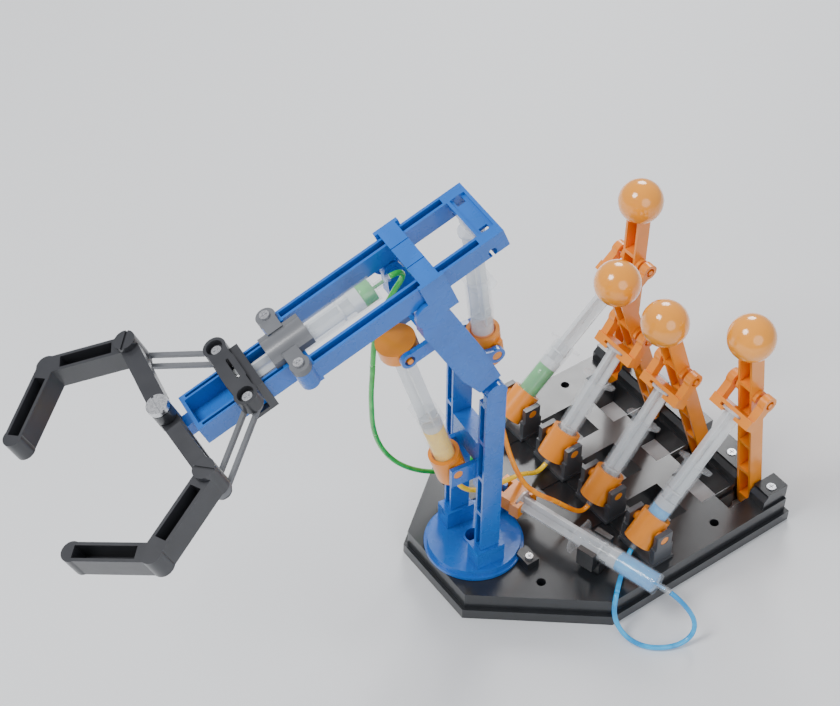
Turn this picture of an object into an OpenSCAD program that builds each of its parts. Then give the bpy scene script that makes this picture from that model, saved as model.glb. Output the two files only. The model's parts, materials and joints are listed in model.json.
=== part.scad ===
// Four-axis toy robot arm driven by water-filled syringes.
// Millimetres. The origin is under the turntable axis on the floor plane,
// +Z up, the arm reaches along -Y and the four hand levers stand along +Y.

/* [Base] */
// Height of the base tray
base_h = 20; // [14:1:26]
// Half width of the tray along its straight sides
base_half_w = 90; // [80:1:100]
// Half width of the narrow nose under the arm
nose_half_w = 32; // [24:1:40]
// Distance from one control syringe to the next
pitch = 44; // [40:1:50]
// Size of the ledge round the foot of the tray
ledge = 2.5; // [1:0.5:5]

/* [Arm pose] */
// Turn of the arm from straight ahead
arm_yaw = -6; // [-20:1:20]
// Forward lean of the upper link
link_lean = 29; // [15:1:40]
// Downward slope of the beam
beam_pitch = 21.5; // [5:0.5:35]

/* [Arm] */
// Outer half width of tower and link
tower_half_w = 22.5; // [18:0.5:26]
// Height of the knee hinge
knee_z = 174; // [160:1:190]
// Distance from knee hinge to beam hinge
link_len = 93; // [80:1:110]
// Length of the wide part of the beam
beam_len = 119; // [100:1:140]
// Length of the narrow front rail past the beam
rail_len = 65; // [40:1:80]

/* [Levers] */
// Distance from lever pivot to the middle of the ball
lever_len = 162; // [140:1:180]
// Ball diameter
knob_d = 29.5; // [24:0.5:34]
// Lean of the green lever, back is positive
lean_1 = 0; // [-25:1:10]
// Lean of the yellow lever
lean_2 = -20; // [-25:1:10]
// Lean of the orange lever
lean_3 = -20; // [-25:1:10]
// Lean of the blue lever
lean_4 = -10; // [-25:1:10]

/* [Syringes] */
// Outside diameter of a barrel
barrel_d = 14.4; // [12:0.2:16]
// Wall of a barrel
barrel_wall = 0.8; // [0.6:0.1:1.2]
// Length of a plunger from seal to thumb plate
plunger_len = 75; // [70:1:90]
// Outside diameter of the water tubes
tube_d = 3.2; // [2.5:0.1:4]

/* [Hidden] */
$fn = 48;
fit = 0.06;
gap = 0.4;
lean = [lean_1, lean_2, lean_3, lean_4];

// Base outline and windows
nose_y = -32;
side_y = 41;
rear_y = 190;
skirt_h = 8;
tray_wall = 2.6;
window_y = [99, 140];
window_l = [28, 26];
window_w = 29;
side_angle = atan2(side_y - nose_y, base_half_w - nose_half_w);
foot_holes = [[50, 15], [76, 135]];

// Lever row
lever_y = 177;
lever_z = 8;
boss_r = 113;
ridge_y = [168, 188];
ridge_h = 11;
ridge_half = 86;
slot_half = 6.9;
lever_w = 12;
lever_t = 10;
thumb_r = 8;

// Syringes: origin on the trunnion, plunger end along +Y
cradle_y = 86;
cradle_z = 41;
barrel_back = 9;
flange_at = 50;
nozzle_l = 9;
nozzle_r = 2.1;
bore_r = barrel_d / 2 - barrel_wall;
plate_back = 16;
eye_out = 17;
pin_r = 1.7;
eye_clear = 1.4;

// Turntable and tower
disc_r = 30;
disc_z = base_h + gap;
disc_top = 26;
upright_y = [-8.7, 4.3];
upright_t = 8;
knee_y = -1.8;
knee_r = 6.5;
clip_at = [31, 18];
clip_h = 5.6;

// Beam frame: origin on the beam hinge, -Y forward, +Z up
beam_top = 18.5;
beam_rear = 54.7;
beam_half = 22.3;
rail_h = 12;
front_half = 13;
front_h = 14;
claw_hub_s = 193;
claw_top = 15;
grip_axis = -4;
carrier_s = 154;
grip_foot_s = 78;

// Shoulder and elbow syringe ends, seen along the arm plane as [y, z]
shoulder_foot = [-20.5, 107.4];
shoulder_head = [-53, 217];
elbow_foot = [2, 195];
lug_at = [-15, 31.5];
lug_z = 36;
swing_at = [75, 56];
swing_shift = -18;
swing_plate = 76;

// Tube routes, from the arm end to the control syringe
green_route = [
    [-5.95, -56.45, 267.2], [-5.6, -53, 268.4], [-6, -48.5, 267], [-7, -47, 261.5], [-9, -50, 255],
    [-11, -53.5, 246], [-15, -57, 232], [-19, -58, 216], [-22, -57.5, 198], [-25, -56.5, 180],
    [-29, -55, 162], [-33, -52.5, 144], [-37, -49.5, 126], [-40, -45, 108], [-42, -38.5, 91],
    [-43, -29.5, 75], [-43.5, -18, 61], [-44.5, -5, 49], [-46.5, 9, 38.5], [-49.5, 23, 30.5],
    [-53.5, 37, 25.5], [-58.5, 50, 23], [-63, 60, 22.6], [-66, 68.5, 25.4], [-66, 72.25, 28.85]];
yellow_route = [
    [-1.6, -15.3, 90.1], [-1.3, -13.8, 85], [-0.8, -9.5, 77], [-0.5, -1, 69], [-1.5, 10, 63], [-3.5, 22, 58],
    [-6.5, 34, 52.5], [-10.5, 45, 45], [-14.5, 54, 36.5], [-18.5, 62, 28], [-21.5, 69, 22.9], [-22, 73, 23.4],
    [-22, 75.2, 26.05]];
orange_route = [
    [0.4, 4.2, 177.1], [0.5, 5.4, 168], [1, 8.5, 154], [2, 12, 137], [4, 15.5, 118], [6.5, 19, 99],
    [9.5, 23.5, 81], [12.5, 30, 65], [15.5, 38.5, 54], [18, 48, 45], [20, 57, 35], [21.5, 65.5, 26],
    [22, 70.5, 22.8], [22, 73.2, 23.6], [22, 75.2, 26.05]];
blue_route = [
    [110.4, 65.5, 35.8], [114.5, 67, 34.5], [120, 71, 27.5], [124.5, 74.5, 18], [127, 74, 9], [127, 68.5, 3.5],
    [124.5, 60, 2], [120, 51.5, 2], [113, 44.5, 2], [104.5, 40, 4], [97.5, 38, 9.5], [92.5, 38, 17],
    [89, 41.5, 24], [84, 47.5, 27], [78, 55, 26.2], [72.5, 62.5, 23.8], [67.5, 69, 23.4], [66.1, 73.4, 27.3]];

// ---------- frames ----------

function lever_x(i) = (i - 2.5) * pitch;
function boss(i) = [lever_y + boss_r * sin(lean[i - 1]), lever_z + boss_r * cos(lean[i - 1])];
function rise(p, q) = atan2(q[1] - p[1], q[0] - p[0]);
function reach(p, q) = norm(q - p);
function ctrl_dist(i) = reach([cradle_y, cradle_z], boss(i));
function hinge() = [knee_y - link_len * sin(link_lean), knee_z + link_len * cos(link_lean)];
function elbow_head() = beam_point(10, -9.5);
function beam_point(s, up) = hinge() + [
    (beam_rear - s) * cos(beam_pitch) - (beam_top + up) * sin(beam_pitch),
    (beam_rear - s) * sin(beam_pitch) + (beam_top + up) * cos(beam_pitch)];

module lever_frame(i) {
    translate([lever_x(i), lever_y, lever_z]) rotate([-lean[i - 1], 0, 0]) children();
}

module ctrl_frame(i) {
    p = [cradle_y, cradle_z];
    translate([lever_x(i), p[0], p[1]]) rotate([rise(p, boss(i)), 0, 0]) children();
}

module arm_frame() {
    rotate([0, 0, arm_yaw]) children();
}

module line_frame(p, q) {
    arm_frame() translate([0, p[0], p[1]]) rotate([rise(p, q), 0, 0]) children();
}

module link_frame() {
    arm_frame() translate([0, knee_y, knee_z]) rotate([link_lean, 0, 0]) children();
}

module beam_frame_at() {
    arm_frame() translate([0, hinge()[0], hinge()[1]]) rotate([beam_pitch, 0, 0]) children();
}

// Beam parts are drawn by distance s from the rear end and height above the top edge
module on_beam(s = 0, up = 0) {
    beam_frame_at() translate([0, beam_rear - s, beam_top + up]) children();
}

function turned(p, a) = [p[0] * cos(a) - p[1] * sin(a), p[0] * sin(a) + p[1] * cos(a)];
function swing_lug() = turned(lug_at, arm_yaw);

module swing_frame() {
    translate([swing_at[0], swing_at[1], lug_z]) rotate([0, 0, rise(swing_at, swing_lug()) - 90]) children();
}

// ---------- shared shapes ----------

module box(x, y, z) {
    translate([x[0], y[0], z[0]]) cube([x[1] - x[0], y[1] - y[0], z[1] - z[0]]);
}

module pair() {
    children();
    mirror([1, 0, 0]) children();
}

module across(r, x) {
    translate([x[0], 0, 0]) rotate([0, 90, 0]) cylinder(r = r, h = x[1] - x[0]);
}

module along(r, y) {
    translate([0, y[0], 0]) rotate([-90, 0, 0]) cylinder(r = r, h = y[1] - y[0]);
}

module screw(r = 3, shank = 7) {
    difference() {
        union() {
            cylinder(r = r, h = 1.6);
            translate([0, 0, -shank]) cylinder(r = 1.4, h = shank + 0.1);
        }
        for (a = [0, 90]) rotate([0, 0, a]) translate([-r * 0.6, -0.35, 0.8]) cube([r * 1.2, 0.7, 1]);
    }
}

// ---------- base ----------

module base_outline(inset) {
    n = nose_half_w - inset * tan(side_angle / 2);
    s = base_half_w - inset;
    c = side_y + inset * tan((90 - side_angle) / 2);
    front = nose_y + inset;
    back = rear_y - inset;
    polygon([[-n, front], [n, front], [s, c], [s, back], [-s, back], [-s, c]]);
}

module window(i, row, grow = 0) {
    x = i * pitch;
    box([x - window_w / 2 - grow, x + window_w / 2 + grow],
        [window_y[row] - grow, window_y[row] + window_l[row] + grow], [-1, base_h + 1]);
}

module lever_slot(i, z) {
    box([lever_x(i) - slot_half, lever_x(i) + slot_half], [lever_y - 26, lever_y + 12], z);
}

module base_tray() {
    color("#1d1e20") difference() {
        union() {
            difference() {
                union() {
                    linear_extrude(skirt_h) base_outline(0);
                    linear_extrude(base_h) base_outline(ledge);
                }
                translate([0, 0, -1]) linear_extrude(base_h - 1.6) base_outline(ledge + tray_wall);
            }
            // Stiffening walls round the windows and under the turntable
            for (row = [0, 1], i = [-1:1]) intersection() {
                window(i, row, 2);
                linear_extrude(base_h) base_outline(ledge + 1);
            }
            cylinder(r = 15, h = base_h);
            for (h = foot_holes, m = [-1, 1]) translate([m * h[0], h[1], 0]) cylinder(r = 5.5, h = base_h);
            // Lever bearing walls
            for (i = [1:4], m = [-1, 1])
                translate([lever_x(i) + m * 8.6 - 1.2, lever_y - 7, 1]) cube([2.4, 14, base_h - 1.5]);
            // Screw posts
            for (x = [-81, -44, 0, 44, 81]) translate([x, 178, 6]) cylinder(r = 3.4, h = base_h - 6);
        }
        for (row = [0, 1], i = [-1:1]) window(i, row);
        for (h = foot_holes, m = [-1, 1]) translate([m * h[0], h[1], -1]) cylinder(r = 3, h = base_h + 2);
        translate([0, 0, -1]) cylinder(r = 9 + fit, h = base_h + 2);
        for (i = [1:4]) {
            lever_slot(i, [base_h - 6, base_h + 1]);
            translate([lever_x(i), lever_y, lever_z]) across(2.2 + fit, [-12, 12]);
        }
        // Three shallow pockets between the cradles
        for (i = [-1:1]) box([i * pitch - 9.5, i * pitch + 9.5], [62, 80], [base_h - 1, base_h + 1]);
        for (x = [-81, -44, 0, 44, 81]) translate([x, 178, 10]) cylinder(r = 1.45, h = 20);
        pair() translate([clip_at[0] + 2.6, clip_at[1], 10]) cylinder(r = 1.45, h = 20);
    }
}

module ridge_block(x) {
    front = ridge_y[0];
    back = ridge_y[1];
    top = base_h + ridge_h;
    translate([x[0], 0, 0]) rotate([90, 0, 90]) linear_extrude(x[1] - x[0]) polygon([
        [front, base_h], [back, base_h], [back, top], [front + 3, top], [front + 3, top - 2], [front, top - 5]]);
}

module lever_ridge() {
    a = pitch / 2 - slot_half;
    b = pitch / 2 + slot_half;
    color("#26272a") difference() {
        union() {
            ridge_block([-a, a]);
            for (x = [[b, b + 2 * a], [b + 2 * a + 2 * slot_half, ridge_half]]) {
                ridge_block(x);
                ridge_block([-x[1], -x[0]]);
            }
        }
        for (x = [-81, -44, 0, 44, 81]) translate([x, 178, 0]) {
            cylinder(r = 1.5, h = 60);
            translate([0, 0, base_h + ridge_h - 1]) cylinder(r = 3.3, h = 5);
        }
    }
}

module base_screws() {
    color("#b9bcc0") {
        for (x = [-81, -44, 0, 44, 81]) translate([x, 178, base_h + ridge_h - 1]) screw();
        pair() translate([clip_at[0] + 2.6, clip_at[1], base_h + clip_h]) screw(2.4);
    }
}

module cradle(i) {
    translate([lever_x(i), cradle_y, 0]) difference() {
        union() {
            box([-15.5, 15.5], [-9, 9], [base_h, base_h + 2.5]);
            pair() box([11.5, 15], [-6, 6], [base_h, cradle_z + 5]);
            pair() for (y = [-7.5, 5.5]) box([11.5, 15], [y, y + 2], [base_h, cradle_z - 6]);
        }
        translate([0, 0, cradle_z]) across(3 + fit, [-20, 20]);
        translate([0, -25, base_h + 2.5]) box([-11.5, 11.5], [0, 50], [0, 40]);
    }
}

module syringe_cradles() {
    color("#3b3d40") for (i = [1:4]) cradle(i);
}

module swing_post() {
    color("#232427") swing_frame() difference() {
        union() {
            box([-6, 6], [11, 27], [base_h - lug_z, -barrel_d / 2]);
            box([-11, 11], [13, 25], [-barrel_d / 2 - 3, 4]);
        }
        along(barrel_d / 2 + 0.05, [0, 40]);
        box([-barrel_d / 2 - 0.05, barrel_d / 2 + 0.05], [0, 40], [0, 20]);
    }
}

// Hooks that hold the rim of the turntable down
module disc_clips() {
    hook_z = disc_z + 2 + gap;
    color("#2a2b2e") difference() {
        pair() translate([clip_at[0], clip_at[1], 0]) {
            box([-2, 7], [-4.5, 4.5], [base_h, base_h + clip_h]);
            box([-6, 0], [-4.5, 4.5], [base_h, base_h + clip_h]);
        }
        pair() translate([clip_at[0] + 2.6, clip_at[1], 0]) cylinder(r = 1.5, h = 60);
        translate([0, 0, hook_z - 5]) cylinder(r = disc_r + 2, h = 5, $fn = 96);
        translate([0, 0, base_h]) cylinder(r = disc_r + 0.2, h = 30, $fn = 96);
    }
}

// ---------- turntable and tower ----------

module turntable() {
    color("#1561b5") arm_frame() difference() {
        union() {
            translate([0, 0, disc_z]) cylinder(r = disc_r + 1.6, h = 2, $fn = 96);
            translate([0, 0, disc_z]) cylinder(r = disc_r - 0.6, h = disc_top - disc_z, $fn = 96);
            translate([0, 0, 5]) cylinder(r = 9, h = disc_z - 4);
            translate([0, 0, disc_top]) cylinder(r = 7, h = 0.8);
            pair() box([12.3, 24.7], [-12, 7], [disc_z, 40]);
            // Raised arm with the pin for the swing syringe
            lug_arm();
        }
        translate([0, 0, 4]) cylinder(r = 5.5, h = 60);
        pair() box([upright_x()[0] - fit, upright_x()[1] + fit], upright_y + [-fit, fit], [disc_top, 60]);
    }
}

module lug_arm() {
    d = norm(lug_at);
    rotate([0, 0, atan2(lug_at[1], lug_at[0])]) {
        box([17, 23], [-4, 4], [disc_z + 1, lug_z - 6]);
        box([17, d], [-4, 4], [lug_z - 8.4, lug_z - 6]);
        translate([d, 0, lug_z - 8.4]) cylinder(r = 4, h = 2.4);
        translate([d, 0, lug_z - 7]) cylinder(r = pin_r, h = 14);
    }
}

function upright_x() = [tower_half_w - upright_t, tower_half_w];

module upright() {
    x = upright_x();
    mid = (x[0] + x[1]) / 2;
    difference() {
        union() {
            box(x, upright_y, [disc_top, knee_z]);
            translate([0, knee_y, knee_z]) across(knee_r, x);
        }
        // Channel open to the front with cross webs left in it
        for (z = [42:31:135])
            box([x[0] + 1.8, x[1] - 1.8], [upright_y[0] - 1, upright_y[0] + 8], [z, z + 28]);
        // Inner half is cut away for the knee of the link
        box([x[0] - 1, mid + 0.2], [upright_y[0] - 1, upright_y[1] + 5],
            [knee_z - knee_r - 2, knee_z + knee_r + 1]);
    }
    translate([0, knee_y, knee_z]) across(2.5, [x[0] + 0.4, mid + 0.4]);
}

module tower_uprights() {
    color("#1a6cc4") arm_frame() pair() upright();
}

module tower_brace() {
    in = upright_x()[0];
    color("#1764ba") arm_frame() difference() {
        union() {
            box([-in, in], [-8.4, -5.9], [90, 128]);
            box([-in, in], [-8.4, 3.8], [112, 114.5]);
            box([-in, in], [-8.4, 3.8], [125.5, 128]);
            // Two lugs that carry the shoulder syringe
            pair()
                box([10.6, 13.4], [shoulder_foot[0] - 4.5, -5.9], [shoulder_foot[1] - 9, shoulder_foot[1] + 4.5]);
        }
        translate([0, shoulder_foot[0], shoulder_foot[1]]) across(3 + fit, [-20, 20]);
        box([-10.2, 10.2], [-16, 10], [60, 111]);
    }
}

// Extrudes a side view, drawn as [y, z], between two x positions
module side_view(x) {
    translate([x[0], 0, 0]) rotate([90, 0, 90]) linear_extrude(x[1] - x[0]) children();
}

// Side plate with a thin tongue at the knee and full width above it
module link_plate() {
    x = upright_x();
    side_view([x[0], (x[0] + x[1]) / 2 - 0.2]) difference() {
        union() {
            circle(r = knee_r);
            translate([-6, 0]) square([12, 20]);
        }
        circle(r = 2.5 + fit);
    }
    side_view(x) difference() {
        union() {
            polygon([[-7, 11], [8, 11], [10, 40], [10, link_len - 12], [4.5, link_len], [-4.5, link_len],
                [-10, link_len - 14], [-10, 30]]);
            translate([0, link_len]) circle(r = 5.6);
        }
        translate([0, link_len]) circle(r = 2.6 + fit);
    }
}

// Ear on the inside of a side plate, from its root to a pin hole at its tip
module link_ear(x, root, tip, half_w, hole) {
    side_view(x) difference() {
        bar_2d(root, tip, half_w, half_w + 0.8);
        translate(tip) circle(r = hole);
    }
}

module upper_link() {
    in = upright_x()[0];
    head = turned(shoulder_head - [knee_y, knee_z], -link_lean);
    foot = turned(elbow_foot - [knee_y, knee_z], -link_lean);
    color("#1968c0") link_frame() {
        pair() {
            link_plate();
            link_ear([in - 2.6, in + 0.3], [-7, 60], head, 4.2, pin_r + eye_clear);
            link_ear([in - 3.1, in + 0.3], [3, 24], foot, 4.2, 3 + fit);
        }
        // Webs that tie the two sides together
        box([-in - 0.3, in + 0.3], [-9.4, -7], [link_len - 26, link_len - 15]);
        box([-in - 0.3, in + 0.3], [7, 9.4], [42, link_len - 22]);
    }
}

// ---------- beam ----------

module beam_frame() {
    color("#1768c2") on_beam() difference() {
        union() {
            pair() beam_rail();
            // Rear pocket
            box([-beam_half, beam_half], [-1.8, 0], [-rail_h, 0]);
            box([-beam_half, beam_half], [-12.5, -10.7], [-5, 0]);
            box([-beam_half, beam_half], [-12.5, 0], [-4, -2]);
            // Cross plate under the saddle and end wall where the front rail starts
            box([-beam_half, beam_half], [-50, -41], [-2.2, 0]);
            box([-beam_half, beam_half], [-beam_len - 0.5, -beam_len + 2], [-front_h, -1]);
            pair() translate([20, -123.5, -rail_h]) cylinder(r = 5.5, h = rail_h);
            pair() box([14.5, beam_half], [-123, -beam_len + 2], [-rail_h, 0]);
            front_rail();
        }
        pair() translate([13, -6.5, -6]) box([-2.5, 2.5], [-2.5, 2.5], [0, 8]);
        translate([0, -10, -9.5]) across(pin_r + 0.9, [-30, 30]);
        translate([0, 0, grip_axis]) along(barrel_d / 2 + 0.3, [-128.4, -70]);
        box([-12.3, 12.3], [-128.4, -126.1], [-rail_h, 1]);
        pair() translate([20, -123.5, -rail_h + 4]) cylinder(r = 1.45, h = 20);
    }
}

module beam_rail() {
    w = 7;
    in = beam_half - w;
    difference() {
        box([in, beam_half], [-beam_len, 0], [-rail_h, 0]);
        box([in + 1.6, beam_half - 1.6], [-beam_len + 1.6, -14], [-rail_h + 2, 1]);
        for (k = [0:6]) box([in + 1.9, beam_half - 1.9], [-26 - k * 14, -17 - k * 14], [-rail_h - 1, 1]);
    }
}

// Narrow open channel in front of the beam
module front_rail() {
    s = [beam_len, beam_len + rail_len];
    difference() {
        union() {
            box([-front_half, front_half], [-s[1], -s[0]], [-front_h, -front_h + 1.8]);
            pair() box([front_half - 4, front_half], [-s[1], -s[0]], [-front_h, -1]);
            box([-front_half, front_half], [-s[1], -s[1] + 2], [-front_h, -1]);
            translate([0, -claw_hub_s, -rail_h]) cylinder(r = 5, h = rail_h - 1);
            box([-4, 4], [-claw_hub_s, -s[1] + 1], [-rail_h, -4]);
        }
        pair() box([front_half - 2.8, front_half - 1.2], [-s[1] + 3.4, -s[0] - 12], [-rail_h, 0]);
        translate([0, -claw_hub_s, -rail_h - 1]) cylinder(r = 1.8, h = 30);
    }
}

module saddle() {
    s = [40, 51];
    leg = beam_half + 0.6;
    out = leg + 2.6;
    color("#3c86d8") beam_frame_at() difference() {
        union() {
            translate([0, beam_rear, beam_top]) {
                box([-out, out], [-s[1], -s[0]], [0, 3]);
                pair() box([leg, out], [-s[1] - 2, -s[0] + 2], [-beam_top - 4, 3]);
            }
            pair() across(8, [leg, out]);
            pair() across(2.6, [upright_x()[0] - 0.6, out]);
        }
        for (x = [-8.5, 8.5])
            translate([x - 0.3, beam_rear - s[1] - 1, beam_top + 2.4]) cube([0.6, s[1] - s[0] + 2, 2]);
    }
}

module grip_clamp() {
    color("#6b6d70") on_beam() difference() {
        union() {
            box([-10.4, 10.4], [-134, -110], [-0.8, 3.2]);
            intersection() {
                translate([0, 0, grip_axis]) along(10.4, [-134, -110]);
                box([-20, 20], [-134, -110], [-0.8, 20]);
            }
            pair() translate([0, -123.5, 0.1]) {
                box([8, 20], [-4.5, 4.5], [0, 4]);
                translate([20, 0, 0]) cylinder(r = 5.5, h = 4);
            }
        }
        translate([0, 0, grip_axis]) along(barrel_d / 2 + 0.05, [-128.1, -100]);
        translate([0, 0, grip_axis]) along(6.9, [-140, -120]);
        box([-12.2, 12.2], [-128.1, -126.3], [-rail_h, 3.5]);
        pair() translate([20, -123.5, -1]) cylinder(r = 1.5, h = 20);
    }
}

module beam_fasteners() {
    color("#c2c4c8") on_beam() {
        pair() translate([20, -123.5, 4.1]) screw(2.8, 9);
        translate([0, -claw_hub_s, 0]) difference() {
            union() {
                translate([0, 0, claw_top + 0.4]) cylinder(r = 6, h = 3.2);
                translate([0, 0, -rail_h]) cylinder(r = 1.7, h = rail_h + claw_top + 1);
            }
            translate([-7, -0.7, claw_top + 2.4]) cube([14, 1.4, 2]);
        }
    }
}

// ---------- gripper ----------

module carrier() {
    color("#3a3c3f") on_beam(carrier_s) difference() {
        union() {
            box([-19, 19], [-5.5, 5.5], [0, 8]);
            pair() translate([19, 0, -0.9]) cylinder(r = 6.4, h = 8.9);
            box([-8.6, 8.6], [-6, 6], [-9, 8]);
            // Cheeks behind the link eyes and jaws under the rail guide the slide
            box([-16, 16], [4, 10.5], [0, 4]);
            pair() box([front_half + 0.4, front_half + 3], [6, 10.5], [-front_h - 3, 2]);
            pair() box([7, front_half + 3], [-4, 10.5], [-front_h - 3, -front_h - 0.4]);
        }
        // Slot and bore that hold the end of the plunger
        translate([0, 0, grip_axis]) box([-7.5, 7.5], [1, 2.7], [-9, 20]);
        translate([0, 0, grip_axis]) along(6.4, [1, 20]);
        pair() translate([19, 0, 4]) cylinder(r = 4.6, h = 6);
        pair() translate([19, 0, -6]) cylinder(r = 1.5, h = 20);
    }
}

module carrier_screws() {
    color("#c2c4c8") on_beam(carrier_s) pair() translate([19, 0, 4]) screw(2.8, 9);
}

function claw_path() = [[0, -claw_hub_s], [51, -190], [72, -232], [43, -265]];

// Outline of a bar between two points with a round eye at each end
module bar_2d(a, b, half_w, eye) {
    d = b - a;
    translate(a) {
        rotate(atan2(d[1], d[0])) translate([0, -half_w]) square([norm(d), 2 * half_w]);
        circle(r = eye);
    }
    translate(b) circle(r = eye);
}

// Long pocket that leaves a thin wall round a bar
module pocket_2d(a, b, half_w, ends) {
    d = b - a;
    translate(a) rotate(atan2(d[1], d[0])) translate([ends[0], -half_w])
        square([norm(d) - ends[0] - ends[1], 2 * half_w]);
}

// One claw lies over the other on the hub, so each arm is half height there
module claw(z) {
    path = claw_path();
    top = claw_top - 0.4;
    difference() {
        union() {
            translate([0, 0, 0.4]) linear_extrude(top - 0.4) {
                bar_2d(path[1], path[2], 5.2, 6);
                bar_2d(path[2], path[3], 5.2, 5.6);
                pocket_2d(path[0], path[1], 4.2, [15, 2]);
            }
            translate([0, 0, z[0]]) linear_extrude(z[1] - z[0]) bar_2d(path[0], path[1], 5, 5.8);
        }
        translate([0, 0, 2.4]) linear_extrude(claw_top) {
            pocket_2d(path[1], path[2], 3.4, [9, 8]);
            pocket_2d(path[2], path[3], 3.4, [8, 1]);
        }
        translate([0, -claw_hub_s, -1]) cylinder(r = 1.7 + fit, h = 40);
    }
    translate([path[1][0], path[1][1], 0]) claw_pin();
}

// Headed pin that the link turns on
module claw_pin() {
    difference() {
        union() {
            translate([0, 0, claw_top - 1]) cylinder(r = 6, h = 4);
            translate([0, 0, -4.4]) cylinder(r = pin_r, h = 8);
            translate([0, 0, -6]) cylinder(r = 4.6, h = 1.6);
        }
        rotate([0, 0, 40]) translate([-7, -0.7, claw_top + 2]) cube([14, 1.4, 2]);
    }
}

module claw_left() {
    color("#2c2d30") on_beam() mirror([1, 0, 0]) claw([claw_top / 2 + 0.1, claw_top - 0.4]);
}

module claw_right() {
    color("#2c2d30") on_beam() claw([0.4, claw_top / 2 - 0.3]);
}

// Twin-bar link from a carrier eye to a claw pin, below the claws
module link_shape() {
    a = [19, -carrier_s];
    d = claw_path()[1] - a;
    l = norm(d);
    translate([a[0], a[1], 0]) rotate([0, 0, atan2(d[1], d[0])]) difference() {
        union() {
            translate([0, 0, -3.8]) cylinder(r = 5, h = 2.5);
            translate([l, 0, -3.8]) cylinder(r = 5.5, h = 3.4);
            for (y = [-4.6, 2.4]) translate([2, y, -3.8]) cube([l - 4, 2.2, 2.5]);
        }
        translate([0, 0, -5]) cylinder(r = 1.4 + fit, h = 10);
        translate([l, 0, -5]) cylinder(r = pin_r + 1.2, h = 10);
    }
}

module link_left() {
    color("#7a7c80") on_beam() mirror([1, 0, 0]) link_shape();
}

module link_right() {
    color("#7a7c80") on_beam() link_shape();
}

// ---------- syringes ----------

module barrel() {
    r = barrel_d / 2;
    difference() {
        union() {
            along(r, [-barrel_back, flange_at]);
            along(nozzle_r, [-barrel_back - nozzle_l, -barrel_back]);
            translate([0, flange_at - 1.6, 0]) rotate([-90, 0, 0]) intersection() {
                cylinder(r = 12, h = 1.6);
                translate([-12, -r - 0.1, 0]) cube([24, 2 * r + 0.2, 1.6]);
            }
        }
        along(bore_r, [-barrel_back + 1.2, flange_at + 1]);
        along(1, [-barrel_back - nozzle_l - 1, 0]);
    }
}

// Plunger drawn with its thumb plate outer face at y = plate
module plunger(plate, disc = thumb_r) {
    seal = plate - plunger_len;
    along(bore_r - fit, [seal, seal + 6]);
    along(bore_r - 0.5, [seal + 12, seal + 13.2]);
    for (a = [0, 90]) rotate([0, a, 0]) translate([-bore_r + 0.7, seal + 5, -0.6])
        cube([2 * bore_r - 1.4, plunger_len - 6, 1.2]);
    along(disc, [plate - 1.6, plate]);
}

module collar(pin_out = 14.8) {
    difference() {
        union() {
            along(9.6, [-12.5, 9]);
            pair() across(3, [8.5, pin_out]);
            pair() box([6, 10.2], [-5, 5], [-6.5, -1]);
        }
        along(barrel_d / 2 + 0.05, [-barrel_back - 0.05, 20]);
        along(3.2, [-20, 0]);
    }
}

module yoke() {
    y = -plate_back;
    difference() {
        union() {
            box([-16.5, 16.5], [y - 4.2, y + 2.4], [-5.2, 5.2]);
            pair() box([11, 16.5], [y, 0], [-3.4, 3.4]);
            pair() across(5.4, [11, 16.5]);
        }
        box([-8.6, 8.6], [y - 1.65, y + 0.05], [-20, 20]);
        along(7, [y - 10, y - 1.6]);
        across(pin_r + eye_clear, [-20, 20]);
    }
}

module lever_shape() {
    h = lever_w / 2;
    d = lever_t / 2;
    difference() {
        union() {
            box([-h, h], [-d, d], [-4, lever_len - 12]);
            across(d, [-h, h]);
            translate([0, 0, boss_r]) across(4.6, [-h - 2.6, h + 2.6]);
            across(2.2, [-9.8, 9.8]);
            translate([0, 0, boss_r]) across(pin_r, [-eye_out, eye_out]);
            box([-4, 4], [-3, 3], [lever_len - 13, lever_len - 6]);
        }
        for (k = [0:4]) box([-h + 1.8, h - 1.8], [-d - 1, d - 2.2], [6 + k * 29, 32 + k * 29]);
    }
}

module knob_shape() {
    translate([0, 0, lever_len]) difference() {
        sphere(d = knob_d, $fn = 72);
        box([-4.05, 4.05], [-3.05, 3.05], [-30, -5.9]);
        box([-10, 10], [-10, 10], [-30, -11.95]);
    }
}

module lever_1() { color("#f08a1c") lever_frame(1) lever_shape(); }
module lever_2() { color("#f08a1c") lever_frame(2) lever_shape(); }
module lever_3() { color("#f08a1c") lever_frame(3) lever_shape(); }
module lever_4() { color("#f08a1c") lever_frame(4) lever_shape(); }

module knob_1() { color("#f59a22") lever_frame(1) knob_shape(); }
module knob_2() { color("#f59a22") lever_frame(2) knob_shape(); }
module knob_3() { color("#f59a22") lever_frame(3) knob_shape(); }
module knob_4() { color("#f59a22") lever_frame(4) knob_shape(); }

module barrel_1() { color("#dfe6ea") ctrl_frame(1) barrel(); }
module barrel_2() { color("#dfe6ea") ctrl_frame(2) barrel(); }
module barrel_3() { color("#dfe6ea") ctrl_frame(3) barrel(); }
module barrel_4() { color("#dfe6ea") ctrl_frame(4) barrel(); }

module collar_1() { color("#f2952a") ctrl_frame(1) collar(); }
module collar_2() { color("#f2952a") ctrl_frame(2) collar(); }
module collar_3() { color("#f2952a") ctrl_frame(3) collar(); }
module collar_4() { color("#f2952a") ctrl_frame(4) collar(); }

module plunger_1() { color("#eef2f4") ctrl_frame(1) plunger(ctrl_dist(1) - plate_back); }
module plunger_2() { color("#eef2f4") ctrl_frame(2) plunger(ctrl_dist(2) - plate_back); }
module plunger_3() { color("#eef2f4") ctrl_frame(3) plunger(ctrl_dist(3) - plate_back); }
module plunger_4() { color("#eef2f4") ctrl_frame(4) plunger(ctrl_dist(4) - plate_back); }

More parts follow.
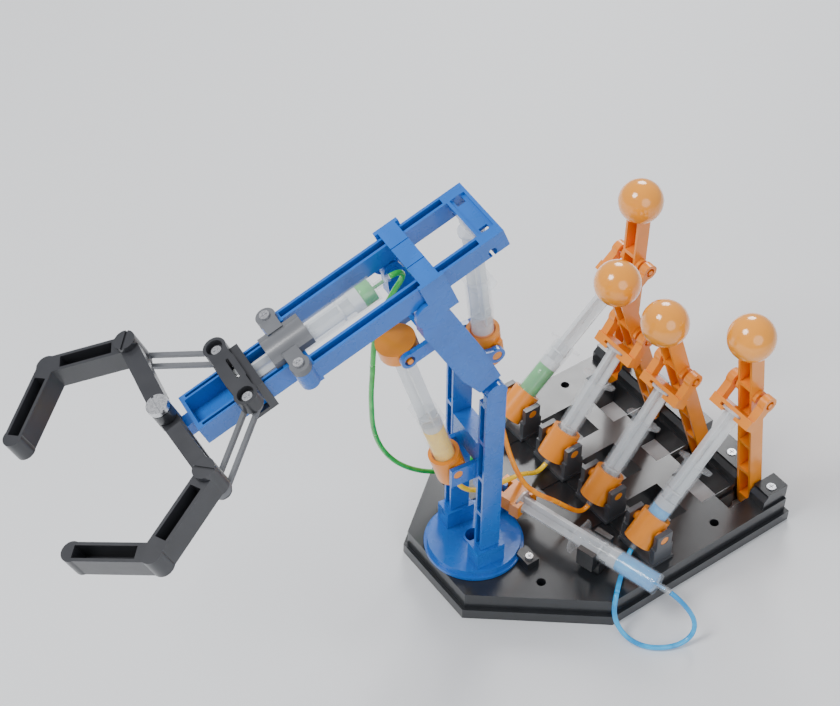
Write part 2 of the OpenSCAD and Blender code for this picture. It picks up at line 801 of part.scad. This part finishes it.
module yoke_1() { color("#f08a1c") ctrl_frame(1) translate([0, ctrl_dist(1), 0]) yoke(); }
module yoke_2() { color("#f08a1c") ctrl_frame(2) translate([0, ctrl_dist(2), 0]) yoke(); }
module yoke_3() { color("#f08a1c") ctrl_frame(3) translate([0, ctrl_dist(3), 0]) yoke(); }
module yoke_4() { color("#f08a1c") ctrl_frame(4) translate([0, ctrl_dist(4), 0]) yoke(); }

module shoulder_barrel() {
    color("#dfe6ea") line_frame(shoulder_foot, shoulder_head) barrel();
}

module shoulder_collar() {
    color("#f2952a") line_frame(shoulder_foot, shoulder_head) collar(13.2);
}

module shoulder_plunger() {
    color("#eef2f4") line_frame(shoulder_foot, shoulder_head)
        plunger(reach(shoulder_foot, shoulder_head) - 3);
}

// Round cap with side pins over the end of the shoulder plunger
module shoulder_cap() {
    color("#f28c1e") line_frame(shoulder_foot, shoulder_head)
        translate([0, reach(shoulder_foot, shoulder_head), 0]) difference() {
            union() {
                along(11.4, [-4.6, 4]);
                pair() across(pin_r, [8, 15.5]);
            }
            along(8.1, [-4.7, -2.95]);
            along(6.5, [-6, -4.5]);
        }
}

module elbow_barrel() {
    color("#dfe6ea") line_frame(elbow_foot, elbow_head()) barrel();
}

module elbow_collar() {
    color("#f2952a") line_frame(elbow_foot, elbow_head()) collar(14.4);
}

module elbow_plunger() {
    d = reach(elbow_foot, elbow_head());
    color("#eef2f4") line_frame(elbow_foot, elbow_head()) {
        plunger(d - 1, 7.4);
        box([-8, 8], [d - 1, d + 2.4], [-2.6, 2.6]);
        translate([0, d, 0]) across(pin_r, [-17.5, 17.5]);
    }
}

module grip_barrel() {
    color("#dfe6ea") on_beam(grip_foot_s, grip_axis) rotate([0, 0, 180]) barrel();
}

module grip_plunger() {
    color("#eef2f4") on_beam(grip_foot_s, grip_axis) rotate([0, 0, 180]) plunger(plunger_len, 7.4);
}

module swing_barrel() {
    color("#dfe6ea") swing_frame() translate([0, swing_shift, 0]) barrel();
}

module swing_plunger() {
    color("#eef2f4") swing_frame() plunger(swing_plate);
}

// Clip over the plunger end with a slotted eye round the turntable pin
module swing_clip() {
    d = reach(swing_at, swing_lug());
    color("#f28c1e") swing_frame() difference() {
        union() {
            box([-10, 10], [swing_plate - 4.2, swing_plate + 2.6], [-5.2, 5.2]);
            box([-8.5, 8.5], [swing_plate + 2, d + 5], [-5.2, 5.2]);
        }
        box([-8.1, 8.1], [swing_plate - 1.65, swing_plate + 0.05], [-20, 20]);
        along(6.6, [swing_plate - 10, swing_plate - 1.6]);
        box([-5, 5], [d - pin_r - 1, d + pin_r + 1], [-20, 20]);
    }
}

// ---------- water tubes ----------

function unit(v) = v / norm(v);

function along_dir(p, i) = unit(p[min(i + 1, len(p) - 1)] - p[max(i - 1, 0)]);

// A side vector carried from ring to ring so that the tube does not twist
function side_of(d, old) = unit(old - d * (old * d));

function sides(p, i, v) = i == len(p) ? [] :
    let (w = side_of(along_dir(p, i), v)) concat([w], sides(p, i + 1, w));

module tube(p) {
    w = sides(p, 0, [0.3, 0.2, 1]);
    n = len(p);
    m = 8;
    polyhedron(
        points = [for (i = [0:n - 1], k = [0:m - 1])
            let (a = k * 360 / m) p[i] + tube_d / 2 * (w[i] * cos(a) + cross(along_dir(p, i), w[i]) * sin(a))],
        faces = concat(
            [[for (k = [0:m - 1]) k]],
            [[for (k = [m - 1:-1:0]) (n - 1) * m + k]],
            [for (i = [0:n - 2], k = [0:m - 1]) let (a = i * m, b = a + m, q = (k + 1) % m)
                [a + k, b + k, b + q]],
            [for (i = [0:n - 2], k = [0:m - 1]) let (a = i * m, b = a + m, q = (k + 1) % m)
                [a + k, b + q, a + q]]));
}

module tube_green() {
    color("#3fae49") tube(green_route);
}

module tube_yellow() {
    color("#e5c32c") tube(yellow_route);
}

module tube_orange() {
    color("#e8892b") tube(orange_route);
}

module tube_blue() {
    color("#4aa6dc") tube(blue_route);
}

base_tray();
lever_ridge();
base_screws();
syringe_cradles();
swing_post();
disc_clips();
turntable();
tower_uprights();
tower_brace();
upper_link();
beam_frame();
saddle();
grip_clamp();
beam_fasteners();
grip_barrel();
carrier();
carrier_screws();
grip_plunger();
claw_left();
claw_right();
link_left();
link_right();
lever_1();
lever_2();
lever_3();
lever_4();
knob_1();
knob_2();
knob_3();
knob_4();
barrel_1();
barrel_2();
barrel_3();
barrel_4();
collar_1();
collar_2();
collar_3();
collar_4();
plunger_1();
plunger_2();
plunger_3();
plunger_4();
yoke_1();
yoke_2();
yoke_3();
yoke_4();
swing_barrel();
swing_plunger();
swing_clip();
shoulder_barrel();
shoulder_collar();
shoulder_plunger();
shoulder_cap();
elbow_barrel();
elbow_collar();
elbow_plunger();
tube_green();
tube_yellow();
tube_orange();
tube_blue();
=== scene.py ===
"""Looks for the syringe-driven toy arm: camera, stage, materials, water columns and tubes."""

import json
from math import cos, pi, radians, sin

import bmesh
import bpy
from mathutils import Matrix, Vector


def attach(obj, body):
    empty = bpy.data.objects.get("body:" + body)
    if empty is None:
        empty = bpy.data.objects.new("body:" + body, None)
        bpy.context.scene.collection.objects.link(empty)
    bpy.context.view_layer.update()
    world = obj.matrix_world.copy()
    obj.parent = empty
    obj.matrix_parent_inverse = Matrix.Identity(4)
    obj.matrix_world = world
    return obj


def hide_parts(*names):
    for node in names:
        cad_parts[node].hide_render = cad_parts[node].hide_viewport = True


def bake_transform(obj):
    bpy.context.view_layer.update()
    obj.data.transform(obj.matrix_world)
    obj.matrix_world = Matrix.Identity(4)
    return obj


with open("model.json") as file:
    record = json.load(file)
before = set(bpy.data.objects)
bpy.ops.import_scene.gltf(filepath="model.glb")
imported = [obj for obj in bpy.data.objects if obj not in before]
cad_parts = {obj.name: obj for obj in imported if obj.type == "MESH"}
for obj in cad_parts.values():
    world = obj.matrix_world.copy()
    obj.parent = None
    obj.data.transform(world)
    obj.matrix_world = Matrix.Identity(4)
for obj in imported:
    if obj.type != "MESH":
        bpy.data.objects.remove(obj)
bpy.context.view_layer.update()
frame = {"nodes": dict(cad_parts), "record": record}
MM = 0.001

# ---------- the part's own dimensions, in millimetres ----------

ARM_YAW = -6
LINK_LEAN = 29
BEAM_PITCH = 21.5
KNEE = Vector((0, -1.8, 174))
LINK_LEN = 93
BEAM_TOP = 18.5
BEAM_REAR = 54.7
PITCH = 44
LEVER_PIVOT = (177, 8)
BOSS_R = 113
LEANS = (0, -20, -20, -10)
TRUNNION = (86, 41)
BORE_R = 6.4
BARREL_BACK = 9
NOZZLE_L = 9
NOZZLE_WATER_R = 0.85
SHOULDER_T = 1.35
WATER_GAP = 0.12
# How far each plunger's thumb plate stands back from the pin that it pushes
PLATE_BACK = 16
SHOULDER_BACK = 3
ELBOW_BACK = 1
PLUNGER_LEN = 75
TUBE_D = 3.2
CURVE_STEPS = 8
PATH_STEP = 1.5
EASING = 12
SHOULDER_FOOT = Vector((0, -20.5, 107.4))
SHOULDER_HEAD = Vector((0, -53, 217))
ELBOW_FOOT = Vector((0, 2, 195))
ELBOW_PIN = Vector((0, -10, -9.5))
GRIP_AT = (0, -78, -4)
LUG = Vector((-15, 31.5, 36))
SWING_AT = Vector((75, 56, 36))
SWING_SHIFT = -18
SWING_PLATE = 76

ROUTES = {
    "green": [
        (-5.95, -56.45, 267.2), (-5.6, -53, 268.4), (-6, -48.5, 267), (-7, -47, 261.5), (-9, -50, 255),
        (-11, -53.5, 246), (-15, -57, 232), (-19, -58, 216), (-22, -57.5, 198), (-25, -56.5, 180),
        (-29, -55, 162), (-33, -52.5, 144), (-37, -49.5, 126), (-40, -45, 108), (-42, -38.5, 91),
        (-43, -29.5, 75), (-43.5, -18, 61), (-44.5, -5, 49), (-46.5, 9, 38.5), (-49.5, 23, 30.5),
        (-53.5, 37, 25.5), (-58.5, 50, 23), (-63, 60, 22.6), (-66, 68.5, 25.4), (-66, 72.25, 28.85)],
    "yellow": [
        (-1.6, -15.3, 90.1), (-1.3, -13.8, 85), (-0.8, -9.5, 77), (-0.5, -1, 69), (-1.5, 10, 63),
        (-3.5, 22, 58), (-6.5, 34, 52.5), (-10.5, 45, 45), (-14.5, 54, 36.5), (-18.5, 62, 28),
        (-21.5, 69, 22.9), (-22, 73, 23.4), (-22, 75.2, 26.05)],
    "orange": [
        (0.4, 4.2, 177.1), (0.5, 5.4, 168), (1, 8.5, 154), (2, 12, 137), (4, 15.5, 118), (6.5, 19, 99),
        (9.5, 23.5, 81), (12.5, 30, 65), (15.5, 38.5, 54), (18, 48, 45), (20, 57, 35), (21.5, 65.5, 26),
        (22, 70.5, 22.8), (22, 73.2, 23.6), (22, 75.2, 26.05)],
    "blue": [
        (110.4, 65.5, 35.8), (114.5, 67, 34.5), (120, 71, 27.5), (124.5, 74.5, 18), (126.8, 74, 9),
        (126.8, 68.5, 3.5), (124.5, 60, 2), (120, 51.5, 2), (113, 44.5, 2), (104.5, 40, 4), (97.5, 38, 9.5),
        (92.5, 38, 17), (89, 41.5, 24), (84, 47.5, 27), (78, 55, 26.2), (72.5, 62.5, 23.8),
        (67.5, 69, 23.4), (66.1, 73.4, 27.3)],
}


def turn(axis, degrees):
    return Matrix.Rotation(radians(degrees), 4, axis)


def shift(x, y, z):
    return Matrix.Translation((x, y, z))


def toward(origin, target):
    """Frame at origin whose +Y points at target, with +X kept level."""
    d = (target - origin).normalized()
    x = d.cross(Vector((0, 0, 1))).normalized()
    m = Matrix((x, d, x.cross(d))).transposed().to_4x4()
    return Matrix.Translation(origin) @ m


ARM = turn("Z", ARM_YAW)
LINK = ARM @ Matrix.Translation(KNEE) @ turn("X", LINK_LEAN)
BEAM = LINK @ shift(0, 0, LINK_LEN) @ turn("X", BEAM_PITCH - LINK_LEAN) @ shift(0, BEAM_REAR, BEAM_TOP)
ELBOW_HEAD = ARM.inverted() @ BEAM @ ELBOW_PIN


# ---------- camera, light and floor ----------

def set_camera():
    az, el, dist = radians(54.91), radians(44.0), 1.1235
    data = bpy.data.cameras.new("camera")
    data.lens = 69.7
    data.sensor_width = 36
    data.clip_end = 20
    cam = bpy.data.objects.new("camera", data)
    away = Vector((sin(az) * cos(el), -cos(az) * cos(el), sin(el)))
    cam.location = Vector((-0.143, 0.059, 0.040)) + away * dist
    cam.rotation_euler = away.to_track_quat("Z", "Y").to_euler()
    bpy.context.scene.collection.objects.link(cam)
    bpy.context.scene.camera = cam


def area_light(name, place, size, power, target=(0, 0, 0.1), tint=(1, 1, 1)):
    data = bpy.data.lights.new(name, "AREA")
    data.shape = "DISK"
    data.size = size
    data.energy = power
    data.color = tint
    lamp = bpy.data.objects.new(name, data)
    lamp.location = place
    lamp.rotation_euler = (Vector(place) - Vector(target)).to_track_quat("Z", "Y").to_euler()
    bpy.context.scene.collection.objects.link(lamp)


def set_stage():
    world = bpy.data.worlds.new("studio")
    world.use_nodes = True
    background = world.node_tree.nodes["Background"]
    background.inputs["Color"].default_value = (0.93, 0.95, 1, 1)
    background.inputs["Strength"].default_value = 0.55
    bpy.context.scene.world = world
    area_light("key", (-0.3, -0.9, 1.5), 0.7, 22)
    area_light("fill", (1.3, -0.2, 0.9), 1.2, 8, tint=(0.95, 0.97, 1))
    area_light("rim", (-0.9, 0.9, 1.0), 0.6, 12)
    mesh = bpy.data.meshes.new("floor")
    mesh.from_pydata([(-4, -4, 0), (4, -4, 0), (4, 4, 0), (-4, 4, 0)], [], [(0, 1, 2, 3)])
    floor = bpy.data.objects.new("floor", mesh)
    bpy.context.scene.collection.objects.link(floor)
    floor.location.z = -0.0002
    paper = bpy.data.materials.new("floor_paper")
    paper.use_nodes = True
    paper.node_tree.nodes["Principled BSDF"].inputs["Base Color"].default_value = (0.82, 0.83, 0.84, 1)
    paper.node_tree.nodes["Principled BSDF"].inputs["Roughness"].default_value = 0.6
    mesh.materials.append(paper)


# ---------- materials ----------

def new_material(name, **values):
    material = bpy.data.materials.new(name)
    material.use_nodes = True
    shader = material.node_tree.nodes["Principled BSDF"]
    for key, value in values.items():
        shader.inputs[key.replace("_", " ")].default_value = value
    return material, material.node_tree.nodes, material.node_tree.links, shader


def rgb(hex_code):
    """Linear colour from an sRGB hex code."""
    parts = [int(hex_code[i:i + 2], 16) / 255 for i in (0, 2, 4)]
    return tuple(c / 12.92 if c < 0.04045 else ((c + 0.055) / 1.055) ** 2.4 for c in parts) + (1,)


def moulded(name, colour, rough=0.3, mottle=0.06, grain=0.00004, coat=0.25, light=None):
    """Injection-moulded plastic: faint flow marks in the colour, handling gloss and a fine surface grain."""
    material, nodes, links, shader = new_material(name, Coat_Weight=coat, Coat_Roughness=0.12)
    base = rgb(colour)
    place = nodes.new("ShaderNodeTexCoord")
    flow = nodes.new("ShaderNodeTexNoise")
    flow.inputs["Scale"].default_value = 38
    flow.inputs["Detail"].default_value = 5
    flow.inputs["Distortion"].default_value = 0.6
    links.new(place.outputs["Object"], flow.inputs["Vector"])
    ramp = nodes.new("ShaderNodeValToRGB")
    ramp.color_ramp.elements[0].position = 0.3
    ramp.color_ramp.elements[1].position = 0.7
    ramp.color_ramp.elements[0].color = tuple(c * (1 - mottle) for c in base[:3]) + (1,)
    bright = rgb(light) if light else tuple(min(1, c * (1 + mottle) + 0.002) for c in base[:3]) + (1,)
    ramp.color_ramp.elements[1].color = bright
    links.new(flow.outputs["Fac"], ramp.inputs["Fac"])
    links.new(ramp.outputs["Color"], shader.inputs["Base Color"])
    smudge = nodes.new("ShaderNodeTexNoise")
    smudge.inputs["Scale"].default_value = 90
    smudge.inputs["Detail"].default_value = 3
    links.new(place.outputs["Object"], smudge.inputs["Vector"])
    spread = nodes.new("ShaderNodeMapRange")
    spread.inputs["To Min"].default_value = rough - 0.07
    spread.inputs["To Max"].default_value = rough + 0.1
    links.new(smudge.outputs["Fac"], spread.inputs["Value"])
    links.new(spread.outputs["Result"], shader.inputs["Roughness"])
    fine = nodes.new("ShaderNodeTexNoise")
    fine.inputs["Scale"].default_value = 1600
    fine.inputs["Detail"].default_value = 2
    links.new(place.outputs["Object"], fine.inputs["Vector"])
    bump = nodes.new("ShaderNodeBump")
    bump.inputs["Strength"].default_value = 0.5
    bump.inputs["Distance"].default_value = grain
    links.new(fine.outputs["Fac"], bump.inputs["Height"])
    links.new(bump.outputs["Normal"], shader.inputs["Normal"])
    return material


def steel(name):
    """Zinc-plated screw steel with turning marks."""
    material, nodes, links, shader = new_material(name, Metallic=1.0)
    place = nodes.new("ShaderNodeTexCoord")
    marks = nodes.new("ShaderNodeTexNoise")
    marks.inputs["Scale"].default_value = 900
    marks.inputs["Detail"].default_value = 4
    links.new(place.outputs["Object"], marks.inputs["Vector"])
    ramp = nodes.new("ShaderNodeValToRGB")
    ramp.color_ramp.elements[0].color = (0.5, 0.5, 0.52, 1)
    ramp.color_ramp.elements[1].color = (0.82, 0.83, 0.85, 1)
    links.new(marks.outputs["Fac"], ramp.inputs["Fac"])
    links.new(ramp.outputs["Color"], shader.inputs["Base Color"])
    spread = nodes.new("ShaderNodeMapRange")
    spread.inputs["To Min"].default_value = 0.18
    spread.inputs["To Max"].default_value = 0.4
    links.new(marks.outputs["Fac"], spread.inputs["Value"])
    links.new(spread.outputs["Result"], shader.inputs["Roughness"])
    return material


def clear_plastic(name, colour, alpha, rough=0.06):
    """See-through polypropylene, a little milky and uneven."""
    material, nodes, links, shader = new_material(
        name, Alpha=alpha, Coat_Weight=0.8, Coat_Roughness=0.04, IOR=1.49)
    place = nodes.new("ShaderNodeTexCoord")
    haze = nodes.new("ShaderNodeTexNoise")
    haze.inputs["Scale"].default_value = 70
    haze.inputs["Detail"].default_value = 3
    links.new(place.outputs["Object"], haze.inputs["Vector"])
    ramp = nodes.new("ShaderNodeValToRGB")
    base = rgb(colour)
    ramp.color_ramp.elements[0].color = tuple(c * 0.9 for c in base[:3]) + (1,)
    ramp.color_ramp.elements[1].color = base
    links.new(haze.outputs["Fac"], ramp.inputs["Fac"])
    links.new(ramp.outputs["Color"], shader.inputs["Base Color"])
    spread = nodes.new("ShaderNodeMapRange")
    spread.inputs["To Min"].default_value = rough
    spread.inputs["To Max"].default_value = rough + 0.12
    links.new(haze.outputs["Fac"], spread.inputs["Value"])
    links.new(spread.outputs["Result"], shader.inputs["Roughness"])
    return material


def dyed_water_painted_glow(name, colour, deep):
    """Dyed water: brighter and darker swirls of dye under a wet surface, with a painted glow: the dye colour
    is also emitted, so the water shines as if lit from within.
    """
    material, nodes, links, shader = new_material(
        name, Roughness=0.08, IOR=1.33, Coat_Weight=0.6, Coat_Roughness=0.03)
    place = nodes.new("ShaderNodeTexCoord")
    swirl = nodes.new("ShaderNodeTexNoise")
    swirl.inputs["Scale"].default_value = 55
    swirl.inputs["Detail"].default_value = 4
    swirl.inputs["Distortion"].default_value = 1.5
    links.new(place.outputs["Object"], swirl.inputs["Vector"])
    ramp = nodes.new("ShaderNodeValToRGB")
    ramp.color_ramp.elements[0].position = 0.25
    ramp.color_ramp.elements[1].position = 0.75
    ramp.color_ramp.elements[0].color = rgb(deep)
    ramp.color_ramp.elements[1].color = rgb(colour)
    links.new(swirl.outputs["Fac"], ramp.inputs["Fac"])
    links.new(ramp.outputs["Color"], shader.inputs["Base Color"])
    # painted glow: the dye colour is also emitted, so the water shines with no lamp behind it
    links.new(ramp.outputs["Color"], shader.inputs["Emission Color"])
    shader.inputs["Emission Strength"].default_value = 0.25
    return material


MATERIALS = {
    "base_plastic": moulded("base_plastic_look", "232528", rough=0.3, mottle=0.15, coat=0.4),
    "cradle_plastic": moulded("cradle_plastic_look", "4a4c50", rough=0.38, mottle=0.12),
    "blue_plastic": moulded("blue_plastic_look", "1468c4", rough=0.26, mottle=0.1, coat=0.5),
    "dark_plastic": moulded("dark_plastic_look", "2f3034", rough=0.3, mottle=0.15),
    "grey_plastic": moulded("grey_plastic_look", "66686c", rough=0.34, mottle=0.08),
    "orange_plastic": moulded("orange_plastic_look", "f2901f", rough=0.3, mottle=0.07, coat=0.35),
    "knob_gloss": moulded("knob_gloss_look", "f79d22", rough=0.14, mottle=0.05, grain=0.00001, coat=1.0),
    "screw_steel": steel("screw_steel_look"),
    "syringe_clear": clear_plastic("syringe_clear_look", "eef4f8", 0.13),
    "plunger_plastic": clear_plastic("plunger_plastic_look", "eef2f4", 0.5, 0.12),
    # the water materials carry a painted glow: their dye colour is also emitted
    "water_green": dyed_water_painted_glow("water_green_look", "35b548", "178a2e"),
    "water_yellow": dyed_water_painted_glow("water_yellow_look", "ffd92e", "e0a90c"),
    "water_orange": dyed_water_painted_glow("water_orange_look", "f7a21b", "d9660c"),
    "water_blue": dyed_water_painted_glow("water_blue_look", "2fb2e8", "0b78bd"),
}


def bevelled(name):
    """Small rounded edges, so that moulded parts catch light along them."""
    part = frame["nodes"][name]
    bevel = part.modifiers.new("edge_round", "BEVEL")
    bevel.width = 0.35 * MM
    bevel.segments = 2
    bevel.limit_method = "ANGLE"
    bevel.angle_limit = radians(50)
    bevel.harden_normals = True


def dress_nodes():
    sharp = ("barrel", "plunger", "tube", "screws", "fasteners", "knob")
    for entry in frame["record"]["subparts"]:
        part = frame["nodes"][entry["node"]]
        part.data.materials.clear()
        part.data.materials.append(MATERIALS[entry["material_slot"]])
        for face in part.data.polygons:
            face.use_smooth = True
        if not any(word in entry["node"] for word in sharp):
            bevelled(entry["node"])


# ---------- meshes ----------

def add_piece(name, mesh_builder, slot, place=Matrix.Identity(4)):
    """Object from a bmesh in millimetres, placed in the row frame in metres."""
    bm = bmesh.new()
    mesh_builder(bm)
    bmesh.ops.recalc_face_normals(bm, faces=bm.faces)
    mesh = bpy.data.meshes.new(name)
    bm.to_mesh(mesh)
    bm.free()
    mesh.transform(Matrix.Scale(MM, 4) @ place)
    for face in mesh.polygons:
        face.use_smooth = True
    mesh.materials.append(MATERIALS[slot])
    piece = bpy.data.objects.new(name, mesh)
    bpy.context.scene.collection.objects.link(piece)
    return piece


def lathe(profile, steps=48):
    """Closed solid of revolution about Y from (radius, y) points that start and end on the axis."""
    def build(bm):
        rings = []
        for r, y in profile:
            if r == 0:
                rings.append([bm.verts.new((0, y, 0))])
            else:
                angles = [2 * pi * k / steps for k in range(steps)]
                rings.append([bm.verts.new((r * cos(a), y, r * sin(a))) for a in angles])
        for low, high in zip(rings, rings[1:]):
            for k in range(steps):
                n = (k + 1) % steps
                corners = [low[k % len(low)], low[n % len(low)], high[n % len(high)], high[k % len(high)]]
                bm.faces.new(list(dict.fromkeys(corners)))
    return build


def polyline_length(path):
    return sum((b - a).length for a, b in zip(path, path[1:]))


def spline(points, steps):
    """Catmull-Rom curve through the points."""
    p = [Vector(q) for q in points]
    out = []
    for i in range(len(p) - 1):
        a, b, c, d = p[max(i - 1, 0)], p[i], p[i + 1], p[min(i + 2, len(p) - 1)]
        for k in range(steps):
            t = k / steps
            out.append(0.5 * (2 * b + (c - a) * t + (2 * a - 5 * b + 4 * c - d) * t * t
                              + (3 * b - a - 3 * c + d) * t ** 3))
    return out + [p[-1]]


def evenly(path, step):
    """The same path as points about one step apart."""
    count = max(2, round(polyline_length(path) / step))
    stride = polyline_length(path) / count
    out = [path[0]]
    travelled = 0
    for a, b in zip(path, path[1:]):
        length = (b - a).length
        while len(out) < count and len(out) * stride <= travelled + length:
            out.append(a.lerp(b, (len(out) * stride - travelled) / length))
        travelled += length
    return out + [path[-1]]


def eased(path, passes):
    """The same path with its bends relaxed, as springy tube would lie, and its ends kept."""
    for _ in range(passes):
        middle = [(a + 2 * b + c) / 4 for a, b, c in zip(path, path[1:], path[2:])]
        path = [path[0]] + middle + [path[-1]]
    return path


def swept(path, radius, steps=16):
    """Tube with closed ends along a path, with no twist."""
    def build(bm):
        side = Vector((0.3, 0.2, 1))
        rings = []
        for i, point in enumerate(path):
            ahead = (path[min(i + 1, len(path) - 1)] - path[max(i - 1, 0)]).normalized()
            side = (side - ahead * side.dot(ahead)).normalized()
            up = ahead.cross(side)
            angles = [2 * pi * k / steps for k in range(steps)]
            rings.append([bm.verts.new(point + (side * cos(a) + up * sin(a)) * radius) for a in angles])
        for low, high in zip(rings, rings[1:]):
            for k in range(steps):
                n = (k + 1) % steps
                bm.faces.new((low[k], low[n], high[n], high[k]))
        bm.faces.new(rings[0])
        bm.faces.new(list(reversed(rings[-1])))
    return build


# ---------- syringes ----------

def ctrl_frame(i):
    """Frame of a control syringe at its trunnion, and the distance to its lever's boss."""
    lean = radians(LEANS[i])
    x = (i - 1.5) * PITCH
    boss = Vector((x, LEVER_PIVOT[0] + BOSS_R * sin(lean), LEVER_PIVOT[1] + BOSS_R * cos(lean)))
    foot = Vector((x, *TRUNNION))
    return toward(foot, boss), (boss - foot).length


def water(name, colour, place, back, seal, cylinder, rod):
    """Column of water from the barrel's shoulder to the seal."""
    r = BORE_R - WATER_GAP
    low = back + SHOULDER_T
    tip = low - NOZZLE_L + 2
    profile = [(0, tip), (NOZZLE_WATER_R, tip), (NOZZLE_WATER_R, low), (r - 0.5, low), (r, low + 0.5)]
    rings = 6
    profile += [(r, low + 0.5 + (seal - low - 0.6) * k / rings) for k in range(1, rings + 1)]
    profile += [(r - 0.1, seal - 0.05), (0, seal - 0.05)]
    piece = add_piece(name, lathe(profile), "water_" + colour, place)
    if cylinder == rod:
        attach(piece, cylinder)
        return
    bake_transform(piece)


def all_water():
    for i, colour in enumerate(("green", "yellow", "orange", "blue")):
        place, length = ctrl_frame(i)
        n = i + 1
        seal = length - PLATE_BACK - PLUNGER_LEN
        water(f"water_control_{n}", colour, place, -BARREL_BACK, seal, f"cylinder_{n}", f"rod_{n}")
    shoulder = ARM @ toward(SHOULDER_FOOT, SHOULDER_HEAD)
    seal = (SHOULDER_HEAD - SHOULDER_FOOT).length - SHOULDER_BACK - PLUNGER_LEN
    water("water_shoulder", "yellow", shoulder, -BARREL_BACK, seal, "shoulder_cylinder", "shoulder_rod")
    elbow = ARM @ toward(ELBOW_FOOT, ELBOW_HEAD)
    seal = (ELBOW_HEAD - ELBOW_FOOT).length - ELBOW_BACK - PLUNGER_LEN
    water("water_elbow", "orange", elbow, -BARREL_BACK, seal, "elbow_cylinder", "elbow_rod")
    grip = BEAM @ shift(*GRIP_AT) @ turn("Z", 180)
    water("water_grip", "green", grip, -BARREL_BACK, 0, "beam", "grip_slide")
    swing = toward(SWING_AT, ARM @ LUG)
    seal = SWING_PLATE - PLUNGER_LEN
    water("water_swing", "blue", swing, SWING_SHIFT - BARREL_BACK, seal, "base", "swing_rod")


# ---------- tubes ----------

def tube(colour, legs):
    """One tube, in legs that each cross one joint."""
    path = eased(evenly(spline(ROUTES[colour], CURVE_STEPS), PATH_STEP), EASING)
    path = [p * MM for p in path]
    total = len(path) - 1
    for index, (until, a, b) in enumerate(legs):
        start = 0 if index == 0 else round(total * legs[index - 1][0])
        part = path[start:round(total * until) + 1]
        name = f"tube_{colour}_{index + 1}"
        piece = add_piece(name, swept([p / MM for p in part], TUBE_D / 2), "water_" + colour)
        if index == 0:
            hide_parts("tube_" + colour)
        if a == b:
            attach(piece, a)
        else:
            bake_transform(piece)


def all_tubes():
    tube("green", [
        (0.27, "beam", "upper_arm"), (0.5, "upper_arm", "tower"),
        (0.85, "tower", "base"), (1, "base", "cylinder_1")])
    tube("yellow", [
        (0.28, "shoulder_cylinder", "tower"), (0.72, "tower", "base"), (1, "base", "cylinder_2")])
    tube("orange", [
        (0.2, "elbow_cylinder", "upper_arm"), (0.5, "upper_arm", "tower"),
        (0.82, "tower", "base"), (1, "base", "cylinder_3")])
    tube("blue", [(0.75, "base", "base"), (1, "base", "cylinder_4")])


set_camera()
set_stage()
all_tubes()
all_water()
dress_nodes()
